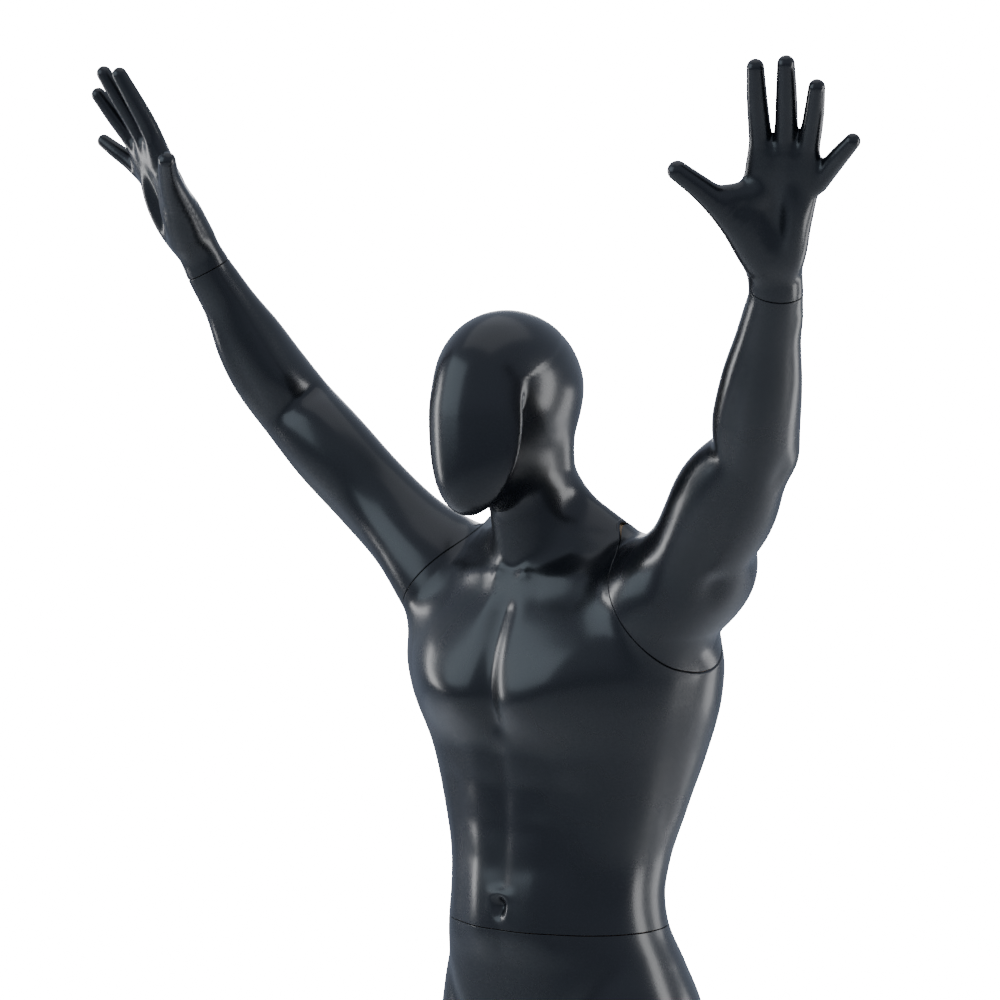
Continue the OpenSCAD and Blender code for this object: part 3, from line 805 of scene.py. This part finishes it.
def boundary_loop(bm, cut):
    """The open edge loop at a cut, in order."""
    edges = {e for e in bm.edges if e.is_boundary}
    found = []
    while edges:
        edge = edges.pop()
        loop = [edge.verts[0], edge.verts[1]]
        while loop[-1] is not loop[0]:
            following = next(e for e in loop[-1].link_edges if e in edges)
            edges.discard(following)
            loop.append(following.other_vert(loop[-1]))
        places = coordinates(loop)
        if np.abs(cut.past(places) + GAP + EDGE).max() < 0.5 and cut.zone(places).all():
            found.append(loop[:-1])
    return max(found, key=len)


def ring_quads(bm, a, b, smooth):
    """Quads between two loops of equal length."""
    for i in range(len(a)):
        j = (i + 1) % len(a)
        face = bm.faces.new([a[i], a[j], b[j], b[i]])
        face.smooth = smooth


def sunk(field, points, move, depth):
    """Moves points inwards until they lie at a depth below the skin."""
    for _ in range(4):
        short = np.maximum(field(points) + depth, 0)
        points = points - move * short[:, None]
    return points


def trim_at(bm, cut):
    """Cuts a shell just short of a joint and returns its open edge loop there."""
    places = coordinates(bm.verts)
    near_cut = (cut.past(places) > -20) & cut.zone(places)
    verts = [v for v, chosen in zip(bm.verts, near_cut) if chosen]
    known = set(verts)
    faces = [f for f in bm.faces if all(v in known for v in f.verts)]
    edges = {e for f in faces for e in f.edges}
    plane = cut.point - cut.out * (GAP + EDGE)
    bmesh.ops.bisect_plane(bm, geom=verts + list(edges) + faces, dist=1e-4, plane_co=Vector(plane),
                           plane_no=Vector(cut.out), clear_outer=True)
    rim = [v for v in bm.verts if v.is_boundary and abs(cut.past(np.array(v.co)) + GAP + EDGE) < 1e-2]
    bmesh.ops.remove_doubles(bm, verts=rim, dist=0.8)
    return boundary_loop(bm, cut)


def outward(field, skin, axis):
    """Direction out of a shell and square to a joint's axis, at each point of an open edge."""
    slope, _ = gradient(field, skin)
    side = slope - np.outer(slope @ axis, axis)
    side /= np.linalg.norm(side, axis=1)[:, None]
    for _ in range(3):
        side = side + np.roll(side, 1, axis=0) + np.roll(side, -1, axis=0)
        side /= np.linalg.norm(side, axis=1)[:, None]
    return side


def close_at(bm, field, cut):
    """Rounds a shell's edge at a joint, and closes the shell with a pocket behind its rim."""
    loop = trim_at(bm, cut)
    skin = coordinates(loop)
    side = outward(field, skin, cut.axis)
    top = skin + cut.out * EDGE
    inner = top - side * WALL
    deep = sunk(field, inner - cut.out * (BOARD + 2), side, WALL)
    radial = inner - cut.point
    radial -= np.outer(radial @ cut.axis, cut.axis)
    radial /= np.linalg.norm(radial, axis=1)[:, None]
    floor = cut.point + radial * cut.floor - cut.out * (GAP + cut.depth + 2)

    previous = loop
    for turn in np.radians([30, 60, 90]):
        points = skin + cut.out * EDGE * math.sin(turn) - side * EDGE * (1 - math.cos(turn))
        ring = [bm.verts.new(p) for p in points]
        ring_quads(bm, previous, ring, True)
        previous = ring
    for points in (inner, deep, floor):
        ring = [bm.verts.new(p) for p in points]
        ring_quads(bm, previous, ring, False)
        previous = ring
    centre = bm.verts.new(floor.mean(axis=0))
    for i in range(len(previous)):
        bm.faces.new([previous[i], previous[(i + 1) % len(previous)], centre])


def add_object(name, mesh, body, material):
    thing = bpy.data.objects.new(name, mesh)
    bpy.context.scene.collection.objects.link(thing)
    mesh.materials.append(material)
    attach(thing, body)
    return thing


def set_normals(mesh, field):
    """Takes the normals of the skin from the shape itself, so that reflections stay smooth. Rims and
    pockets lie off the skin and keep their own."""
    count = len(mesh.vertices)
    points = np.zeros(count * 3, np.float32)
    mesh.vertices.foreach_get("co", points)
    points = points.reshape(-1, 3).astype(float)
    slope, value = gradient(field, points)
    slope /= np.maximum(np.linalg.norm(slope, axis=1), 1e-6)[:, None]
    slope[np.abs(value) > 0.4] = 0
    corner = np.zeros(len(mesh.loops), np.int32)
    mesh.loops.foreach_get("vertex_index", corner)
    smooth = np.zeros(len(mesh.polygons), bool)
    mesh.polygons.foreach_get("use_smooth", smooth)
    sides = np.zeros(len(mesh.polygons), np.int32)
    mesh.polygons.foreach_get("loop_total", sides)
    normals = slope[corner] * np.repeat(smooth, sides)[:, None]
    mesh.normals_split_custom_set(normals)


def make_shell(name, field, low, high, cell, cuts, body, node):
    """Makes one glossy shell: the part of a shape that lies in a box, ended at its joints."""

    def clipped(p):
        d = field(p)
        for cut in cuts:
            d = cut.clip(d, p)
        return d

    points, quads = surface(clipped, low, high, cell)
    bm = bmesh.new()
    verts = [bm.verts.new(p) for p in points]
    for quad in quads:
        face = bm.faces.new([verts[i] for i in quad])
        face.smooth = True
    for cut in cuts:
        close_at(bm, field, cut)
    loose = [v for v in bm.verts if not v.link_faces]
    bmesh.ops.delete(bm, geom=loose, context="VERTS")
    bmesh.ops.recalc_face_normals(bm, faces=bm.faces)
    mesh = bpy.data.meshes.new(name)
    bm.to_mesh(mesh)
    bm.free()
    set_normals(mesh, field)
    mesh.transform(Matrix.Scale(MM, 4))
    shell = add_object(name, mesh, body, GLOSS)
    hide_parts(node)


def make_board(name, field, cut, flange, cup, body, node):
    """Plywood board that closes a shell, with the recess for a flange and the hole of a cup."""
    sides = 160
    angles = np.arange(sides) * 2 * math.pi / sides
    across = unit(np.cross(cut.axis, (0, 1, 0)))
    up = np.cross(cut.axis, across)
    radial = np.outer(np.cos(angles), across) + np.outer(np.sin(angles), up)
    reaches = np.arange(8.0, 150.0, 0.5)

    def outline(depth):
        centre = cut.point - cut.out * depth
        points = centre + radial[:, None] * reaches[None, :, None]
        inside = field(points.reshape(-1, 3)).reshape(sides, -1) < -(WALL + 0.3)
        last = np.argmin(inside, axis=1)
        return centre + radial * reaches[np.maximum(last - 1, 0)][:, None]

    def circle(r, depth):
        return cut.point - cut.out * depth + radial * r

    wide = flange[0] + 0.2
    face = GAP + 0.05
    floor = face + flange[1]
    under = GAP + BOARD
    rings = [outline(under), outline(face), circle(wide, face), circle(wide, floor)]
    if cup:
        rings += [circle(cup, floor), circle(cup, under)]
    bm = bmesh.new()
    made = [[bm.verts.new(p * MM) for p in ring] for ring in rings]
    for a, b in zip(made, made[1:]):
        ring_quads(bm, a, b, False)
    if cup:
        ring_quads(bm, made[-1], made[0], False)
    else:
        bm.faces.new(made[-1])
        bm.faces.new(made[0])
    bmesh.ops.recalc_face_normals(bm, faces=bm.faces)
    mesh = bpy.data.meshes.new(name)
    bm.to_mesh(mesh)
    bm.free()
    board = add_object(name, mesh, body, PLYWOOD)
    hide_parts(node)


# ---- materials ----


class Nodes:
    """Short way to build a material's nodes."""

    def __init__(self, name):
        self.material = bpy.data.materials.new(name)
        self.material.use_nodes = True
        self.tree = self.material.node_tree
        self.shader = self.tree.nodes["Principled BSDF"]
        self.place = self.add("ShaderNodeTexCoord").outputs["Object"]

    def add(self, kind, **settings):
        node = self.tree.nodes.new(kind)
        for key, value in settings.items():
            if key in node.inputs:
                node.inputs[key].default_value = value
            else:
                setattr(node, key, value)
        return node

    def link(self, a, b):
        self.tree.links.new(a, b)

    def set(self, **values):
        for key, value in values.items():
            self.shader.inputs[key.replace("_", " ")].default_value = value

    def noise(self, scale, detail=3.0, roughness=0.5, stretch=None):
        """Noise with a scale in features per metre, if wanted stretched along an axis."""
        node = self.add("ShaderNodeTexNoise", Scale=scale, Detail=detail, Roughness=roughness)
        source = self.place
        if stretch:
            mapping = self.add("ShaderNodeMapping")
            mapping.inputs["Scale"].default_value = stretch
            self.link(source, mapping.inputs["Vector"])
            source = mapping.outputs["Vector"]
        self.link(source, node.inputs["Vector"])
        return node.outputs["Fac"]

    def remap(self, source, low, high, start=0.3, end=0.7):
        node = self.add("ShaderNodeMapRange")
        for key, value in (("From Min", start), ("From Max", end), ("To Min", low), ("To Max", high)):
            node.inputs[key].default_value = value
        self.link(source, node.inputs["Value"])
        return node.outputs["Result"]

    def blend(self, factor, a, b):
        node = self.add("ShaderNodeMix", data_type="RGBA")
        self.link(factor, node.inputs[0])
        node.inputs[6].default_value = (*a, 1)
        node.inputs[7].default_value = (*b, 1)
        return node.outputs[2]

    def bump(self, height, strength, distance, under=None):
        node = self.add("ShaderNodeBump", Strength=strength, Distance=distance)
        self.link(height, node.inputs["Height"])
        if under is not None:
            self.link(under, node.inputs["Normal"])
        return node.outputs["Normal"]


def gloss_material():
    """Black satin-gloss lacquer with a faint orange peel and slightly uneven polish."""
    m = Nodes("gloss_black_lacquer")
    m.set(IOR=1.5, Coat_Weight=0.2, Coat_IOR=1.5)
    smudge = m.noise(9, 4)
    m.link(m.remap(smudge, 0.24, 0.31), m.shader.inputs["Roughness"])
    m.link(m.remap(m.noise(30, 3), 0.13, 0.19), m.shader.inputs["Coat Roughness"])
    m.link(m.blend(smudge, (0.0035, 0.0042, 0.006), (0.005, 0.006, 0.008)), m.shader.inputs["Base Color"])
    wave = m.bump(m.noise(60, 2), 0.15, 0.0002)
    peel = m.bump(m.noise(900, 2, 0.6), 0.35, 0.00008, wave)
    m.link(peel, m.shader.inputs["Normal"])
    m.link(peel, m.shader.inputs["Coat Normal"])
    return m.material


def plywood_material():
    """Pale plywood with long grain."""
    m = Nodes("plywood_board")
    m.set(Roughness=0.62)
    grain = m.noise(60, 6, 0.65, (1, 14, 14))
    colour = m.blend(m.remap(grain, 0, 1), (0.36, 0.22, 0.11), (0.62, 0.44, 0.26))
    m.link(colour, m.shader.inputs["Base Color"])
    m.link(m.bump(grain, 0.5, 0.0006), m.shader.inputs["Normal"])
    return m.material


def metal_material(name, colour, rough, grain, stretch=None):
    """Metal with fine grain, brushed along an axis where stretch is given."""
    m = Nodes(name)
    m.set(Metallic=1.0)
    streaks = m.noise(grain, 4, 0.6, stretch)
    m.link(m.remap(streaks, rough * 0.8, rough * 1.35), m.shader.inputs["Roughness"])
    dull = tuple(c * 0.8 for c in colour)
    m.link(m.blend(m.noise(14, 4), dull, colour), m.shader.inputs["Base Color"])
    m.link(m.bump(streaks, 0.25, 0.0002), m.shader.inputs["Normal"])
    return m.material


def nylon_material():
    """White moulded nylon that lets a little light in."""
    m = Nodes("white_nylon")
    m.set(Subsurface_Weight=0.15, Subsurface_Scale=0.004)
    m.link(m.blend(m.noise(40), (0.74, 0.73, 0.68), (0.84, 0.83, 0.79)), m.shader.inputs["Base Color"])
    m.link(m.remap(m.noise(120), 0.38, 0.55), m.shader.inputs["Roughness"])
    m.link(m.bump(m.noise(600), 0.3, 0.0001), m.shader.inputs["Normal"])
    return m.material


def rubber_material():
    """Matt black rubber."""
    m = Nodes("black_rubber")
    m.set(Specular_IOR_Level=0.3)
    m.link(m.blend(m.noise(50), (0.018, 0.018, 0.019), (0.035, 0.034, 0.033)), m.shader.inputs["Base Color"])
    m.link(m.remap(m.noise(200), 0.7, 0.9), m.shader.inputs["Roughness"])
    m.link(m.bump(m.noise(800), 0.6, 0.0003), m.shader.inputs["Normal"])
    return m.material


GLOSS = gloss_material()
PLYWOOD = plywood_material()
PLATE_STEEL = metal_material("brushed_plate", (0.62, 0.63, 0.65), 0.28, 90, (1, 40, 1))
CHROME = metal_material("chromed_rod", (0.80, 0.81, 0.83), 0.08, 60)
ALLOY = metal_material("die_cast_alloy", (0.52, 0.53, 0.54), 0.42, 350)
ZINC = metal_material("zinc_plated_steel", (0.60, 0.61, 0.58), 0.30, 260)
NYLON = nylon_material()
RUBBER = rubber_material()

SLOT_LOOKS = {
    "gloss_black_shell": GLOSS, "plywood": PLYWOOD, "die_cast_alloy": ALLOY, "white_nylon": NYLON,
    "zinc_plated_steel": ZINC, "brushed_steel_plate": PLATE_STEEL, "chromed_rod": CHROME,
    "black_rubber": RUBBER,
}
for part in frame["record"]["subparts"]:
    mesh = frame["nodes"][part["node"]].data
    mesh.materials.clear()
    mesh.materials.append(SLOT_LOOKS[part["material_slot"]])


# ---- the shells and their boards ----

# The fittings come in three sizes. A flange has a radius and a thickness, a cup is the hole that a
# socket fills in its board, and a pocket is deep enough behind the joint for a socket, or only for
# a board where it is shallow.
LARGE_FLANGE = (62, 5)
MEDIUM_FLANGE = (40, 4.5)
SMALL_FLANGE = (19, 3)
LARGE_CUP = 41.25
MEDIUM_CUP = 26.25
SMALL_CUP = 13.25
LARGE_DEEP = 52
MEDIUM_DEEP = 42
SMALL_DEEP = 30
SHALLOW = 19

torso_waist = Cut(WAIST, 1, anywhere, SHALLOW, 60)
hips_waist = Cut(WAIST, -1, anywhere, LARGE_DEEP, 50)
hips_thigh = Cut(THIGH, -1, right_side, MEDIUM_DEEP, 34)
leg_thigh = Cut(THIGH, 1, right_side, SHALLOW, 40)
shoulders = {"left": LEFT_SHOULDER, "right": RIGHT_SHOULDER}
wrists = {"left": LEFT_WRIST, "right": RIGHT_WRIST}

sockets_up = [Cut(plane, -1, around(plane), MEDIUM_DEEP, 34) for plane in shoulders.values()]
make_shell("torso_and_head", upper_figure, (-250, -240, 1105), (250, 190, 1875), BODY_CELL,
           [torso_waist] + sockets_up, "torso", "torso_and_head_shell")
make_board("torso_board", upper_figure, torso_waist, LARGE_FLANGE, None, "torso", "torso_waist_board")
make_shell("hips_and_left_leg", lower_figure, (-205, -190, -5), (205, 170, 1150), BODY_CELL,
           [hips_waist, hips_thigh], "hips_and_legs", "pelvis_and_left_leg_shell")
make_board("waist_board", lower_figure, hips_waist, LARGE_FLANGE, LARGE_CUP, "hips_and_legs",
           "pelvis_waist_board")
make_board("thigh_board", lower_figure, hips_thigh, MEDIUM_FLANGE, MEDIUM_CUP, "hips_and_legs",
           "pelvis_thigh_board")
make_shell("right_leg", lower_figure, (-215, -200, -5), (-4, 170, 930), BODY_CELL, [leg_thigh],
           "hips_and_legs", "right_leg_shell")
make_board("right_leg_board", lower_figure, leg_thigh, MEDIUM_FLANGE, None, "hips_and_legs",
           "right_thigh_board")

# Corners of the box around each arm, then of the box around its hand.
BOXES = {
    "left": [((90, -270, 1380), (520, 130, 1890)), ((330, -330, 1850), (640, -90, 2160))],
    "right": [((-480, -270, 1400), (-90, 130, 1930)), ((-620, -330, 1880), (-320, -90, 2180))],
}
for side, socket in zip(("left", "right"), sockets_up):
    arm_box, hand_box = BOXES[side]
    make_board(side + "_socket_board", upper_figure, socket, MEDIUM_FLANGE, MEDIUM_CUP, "torso",
               side + "_shoulder_board")
    arm_end_cut = Cut(shoulders[side], 1, anywhere, SHALLOW, 40)
    wrist_cut = Cut(wrists[side], -1, anywhere, SMALL_DEEP, 17)
    body = side + "_arm"
    make_shell(side + "_arm_skin", upper_figure, *arm_box, ARM_CELL, [arm_end_cut, wrist_cut], body,
               side + "_arm_shell")
    make_board(side + "_arm_end", upper_figure, arm_end_cut, MEDIUM_FLANGE, None, body,
               side + "_arm_board")
    make_board(side + "_wrist_end", upper_figure, wrist_cut, SMALL_FLANGE, SMALL_CUP, body,
               side + "_wrist_board")
    make_shell(side + "_hand_skin", upper_figure, *hand_box, HAND_CELL,
               [Cut(wrists[side], 1, anywhere, 6, 16)], side + "_hand", side + "_hand")


# ---- floor, backdrop, light and camera ----

FLOOR_R = 5.0
HORIZON_BLUR = 0.25                     # how far the room's floor fades into its walls
LIGHT_AIM = (0, 0, 1.5)
CAMERA_AT = (2.7034, -3.2148, 1.830)
CAMERA_AIM = (-0.052, -0.045, 1.627)
CAMERA_LENS = 127                       # millimetres, on a sensor 36 mm wide


def area_light(name, at, aim, size, power, colour=(1, 1, 1)):
    """Rectangular light at a place, aimed at a point."""
    data = bpy.data.lights.new(name, "AREA")
    data.shape = "RECTANGLE"
    data.size, data.size_y = size
    data.energy = power
    data.color = colour
    lamp = bpy.data.objects.new(name, data)
    lamp.location = at
    lamp.rotation_euler = (Vector(aim) - Vector(at)).to_track_quat("-Z", "Y").to_euler()
    bpy.context.scene.collection.objects.link(lamp)


def make_floor():
    """Plain pale floor, a round disc."""
    sides = 96
    turns = [2 * math.pi * i / sides for i in range(sides)]
    rim = [(FLOOR_R * math.cos(turn), FLOOR_R * math.sin(turn), 0) for turn in turns]
    mesh = bpy.data.meshes.new("floor")
    mesh.from_pydata(rim, [], [tuple(range(sides))])
    m = Nodes("pale_floor")
    m.link(m.blend(m.noise(3), (0.78, 0.78, 0.78), (0.82, 0.82, 0.82)), m.shader.inputs["Base Color"])
    m.link(m.remap(m.noise(5), 0.6, 0.75), m.shader.inputs["Roughness"])
    mesh.materials.append(m.material)
    floor = bpy.data.objects.new("floor", mesh)
    bpy.context.scene.collection.objects.link(floor)
    return floor


def make_world(backdrop, sky, ground):
    """White backdrop, while the figure is lit and mirrored by a dim room with a darker floor."""
    world = bpy.data.worlds.new("studio")
    bpy.context.scene.world = world
    world.use_nodes = True
    tree = world.node_tree
    tree.nodes.clear()
    direction = tree.nodes.new("ShaderNodeTexCoord").outputs["Generated"]
    split = tree.nodes.new("ShaderNodeSeparateXYZ")
    tree.links.new(direction, split.inputs[0])
    ramp = tree.nodes.new("ShaderNodeMapRange")
    ramp.inputs["From Min"].default_value = -HORIZON_BLUR
    ramp.inputs["From Max"].default_value = HORIZON_BLUR
    tree.links.new(split.outputs["Z"], ramp.inputs["Value"])
    room = tree.nodes.new("ShaderNodeMix")
    room.data_type = "RGBA"
    room.inputs["A"].default_value = (*ground, 1)
    room.inputs["B"].default_value = (*sky, 1)
    tree.links.new(ramp.outputs[0], room.inputs["Factor"])
    backgrounds = [tree.nodes.new("ShaderNodeBackground") for _ in range(2)]
    tree.links.new(room.outputs["Result"], backgrounds[0].inputs[0])
    backgrounds[1].inputs[0].default_value = (*backdrop, 1)
    mix = tree.nodes.new("ShaderNodeMixShader")
    tree.links.new(tree.nodes.new("ShaderNodeLightPath").outputs["Is Camera Ray"], mix.inputs[0])
    for slot, background in enumerate(backgrounds):
        tree.links.new(background.outputs[0], mix.inputs[slot + 1])
    output = tree.nodes.new("ShaderNodeOutputWorld")
    tree.links.new(mix.outputs[0], output.inputs[0])


def softbox(name, azimuth, height, reach, size, radiance, colour=(1, 1, 1)):
    """Soft light around the figure. Azimuth 0 is in front of it and 90 on its left side."""
    a = math.radians(azimuth)
    at = (reach * math.sin(a), -reach * math.cos(a), height)
    area_light(name, at, LIGHT_AIM, size, radiance * math.pi * size[0] * size[1], colour)


def make_camera(at, aim, lens):
    data = bpy.data.cameras.new("camera")
    data.lens = lens
    data.sensor_width = 36
    camera = bpy.data.objects.new("camera", data)
    camera.location = at
    camera.rotation_euler = (Vector(aim) - camera.location).to_track_quat("-Z", "Y").to_euler()
    bpy.context.scene.collection.objects.link(camera)
    bpy.context.scene.camera = camera


make_floor()
make_world((22.0, 22.0, 22.0), (0.42, 0.48, 0.60), (0.22, 0.26, 0.34))
softbox("left_strip", 122, 1.5, 3.2, (1.0, 2.6), 5.6)
softbox("rear_strip", 155, 0.8, 3.2, (0.9, 1.6), 3.2)
softbox("right_strip", -72, 1.7, 3.0, (0.5, 1.6), 7.5)
softbox("blue_window", -30, 2.8, 3.4, (3.2, 2.6), 1.5, (0.75, 0.9, 1.0))
softbox("right_rear", -140, 1.8, 3.2, (0.8, 2.4), 2.6)
area_light("overhead", (0, 0, 4.2), (0, 0, 0), (3.0, 3.0), 14)

make_camera(CAMERA_AT, CAMERA_AIM, CAMERA_LENS)
